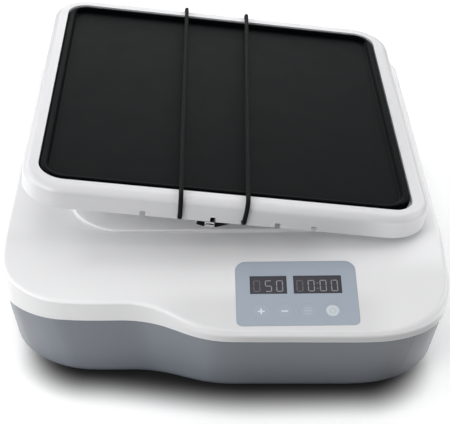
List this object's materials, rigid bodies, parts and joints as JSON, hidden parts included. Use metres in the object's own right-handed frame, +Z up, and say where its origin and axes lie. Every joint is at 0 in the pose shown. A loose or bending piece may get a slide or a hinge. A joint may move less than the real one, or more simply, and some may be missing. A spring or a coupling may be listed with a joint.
{
  "type": "rocking shaker",
  "caption": "Bench rocking shaker: a square rubber-matted platform tilts on a shaft above a two-part housing with a sloping key and display panel, driven by crank and fork.",
  "frame": {"origin": "on the bench, under the middle of the overall bounding box", "axes": "+X to the right of someone facing the control panel, +Y to the rear, +Z up; the rocking axis is along +Y"},
  "size_m": [0.37, 0.4197, 0.1701],
  "materials": {
    "white_cover": "satin moulded",
    "grey_housing": "fine grained moulding",
    "white_tray": "satin moulded",
    "mat_rubber": "matt, soft sheen",
    "elastic": "woven elastic",
    "ferrule_metal": "polished crimp",
    "foot_rubber": "matt",
    "zinc_screw": "zinc plated",
    "black_screw": "blackened",
    "chassis_steel": "grey paint",
    "cast_alloy": "as cast",
    "bearing_steel": "ground",
    "shaft_steel": "ground",
    "machined_alloy": "machined",
    "belt_rubber": "moulded",
    "motor_can": "plated can",
    "gearbox_steel": "plated",
    "board_green": "solder mask",
    "component_black": "moulded",
    "standoff_brass": "machined",
    "supply_case": "folded sheet",
    "inlet_black": "moulded",
    "rocker_black": "moulded",
    "panel_film": "printed film",
    "window_dark": "smoked",
    "display_module": "potted",
    "key_grey": "satin",
    "key_white": "satin",
    "cable_sheath": "extruded"
  },
  "bodies": {
    "base": {"lower_housing": "grey_housing", "top_cover": "white_cover", "rubber_feet": "foot_rubber", "foot_screws": "zinc_screw", "cover_screws": "zinc_screw", "chassis_plate": "chassis_steel", "chassis_screws": "zinc_screw", "front_pedestal": "cast_alloy", "rear_pedestal": "cast_alloy", "pedestal_screws": "zinc_screw", "pivot_bearings": "bearing_steel", "crank_block": "machined_alloy", "crank_block_screws": "zinc_screw", "crank_bearings": "bearing_steel", "motor_bracket": "chassis_steel", "gearbox": "gearbox_steel", "drive_motor": "motor_can", "motor_screws": "zinc_screw", "drive_belt": "belt_rubber", "control_board": "board_green", "board_standoffs": "standoff_brass", "board_screws": "zinc_screw", "board_components": "component_black", "power_supply": "supply_case", "power_inlet": "inlet_black", "power_switch_frame": "inlet_black", "panel_overlay": "panel_film", "speed_window": "window_dark", "timer_window": "window_dark", "speed_display": "display_module", "timer_display": "display_module", "display_board": "board_green", "display_screws": "zinc_screw", "tact_switches": "component_black", "display_cable": "cable_sheath", "motor_lead": "cable_sheath", "inlet_pins": "standoff_brass"},
    "platform": {"platform_tray": "white_tray", "platform_mat": "mat_rubber", "support_frame": "chassis_steel", "frame_screws": "zinc_screw", "frame_nuts": "zinc_screw", "rocker_shaft": "shaft_steel", "shaft_clamps": "machined_alloy", "clamp_screws": "black_screw", "shaft_collars": "shaft_steel", "drive_fork": "machined_alloy", "retaining_cord": "elastic", "cord_ferrule": "ferrule_metal"},
    "crank": {"crank_shaft": "shaft_steel", "crank_pin": "shaft_steel", "crank_pulley": "machined_alloy"},
    "motor_rotor": {"motor_pulley": "machined_alloy", "motor_shaft": "shaft_steel"},
    "roller": {"cam_roller": "bearing_steel"},
    "plus_key": {"key_plus": "key_grey"},
    "minus_key": {"key_minus": "key_grey"},
    "mode_key": {"key_mode": "key_grey"},
    "run_key": {"key_run": "key_white"},
    "switch_rocker": {"power_rocker": "rocker_black"}
  },
  "joints": [
    {"name": "platform_tilt", "type": "hinge", "parent": "base", "child": "platform", "pos_m": [0, 0.035, 0.116], "axis": [0, 1, 0], "range_deg": [-14.4, 0]},
    {"name": "crank_spin", "type": "hinge", "parent": "base", "child": "crank", "pos_m": [0, 0.011, 0.056], "axis": [0, 1, 0], "range_deg": [-180, 0]},
    {"name": "motor_spin", "type": "hinge", "parent": "base", "child": "motor_rotor", "pos_m": [0.075, 0, 0.056], "axis": [0, 1, 0], "range_deg": [-540, 0]},
    {"name": "roller_spin", "type": "hinge", "parent": "crank", "child": "roller", "pos_m": [-0.00758, 0.035, 0.056], "axis": [0, 1, 0], "continuous": true},
    {"name": "plus_key_press", "type": "slide", "parent": "base", "child": "plus_key", "axis": [0, 0.2773, -0.9608], "range_m": [0, 0.0005], "stiffness_N_per_m": 600},
    {"name": "minus_key_press", "type": "slide", "parent": "base", "child": "minus_key", "axis": [0, 0.2773, -0.9608], "range_m": [0, 0.0005], "stiffness_N_per_m": 600},
    {"name": "mode_key_press", "type": "slide", "parent": "base", "child": "mode_key", "axis": [0, 0.2773, -0.9608], "range_m": [0, 0.0005], "stiffness_N_per_m": 600},
    {"name": "run_key_press", "type": "slide", "parent": "base", "child": "run_key", "axis": [0, 0.2773, -0.9608], "range_m": [0, 0.0005], "stiffness_N_per_m": 600},
    {"name": "switch_rock", "type": "hinge", "parent": "base", "child": "switch_rocker", "pos_m": [0.07, 0.1988, 0.037], "axis": [0, 0, 1], "range_deg": [0, 12]}
  ],
  "couplings": [
    {"joint": "crank_spin", "follows": "platform_tilt", "ratio": 12.5},
    {"joint": "motor_spin", "follows": "platform_tilt", "ratio": 37.5}
  ]
}
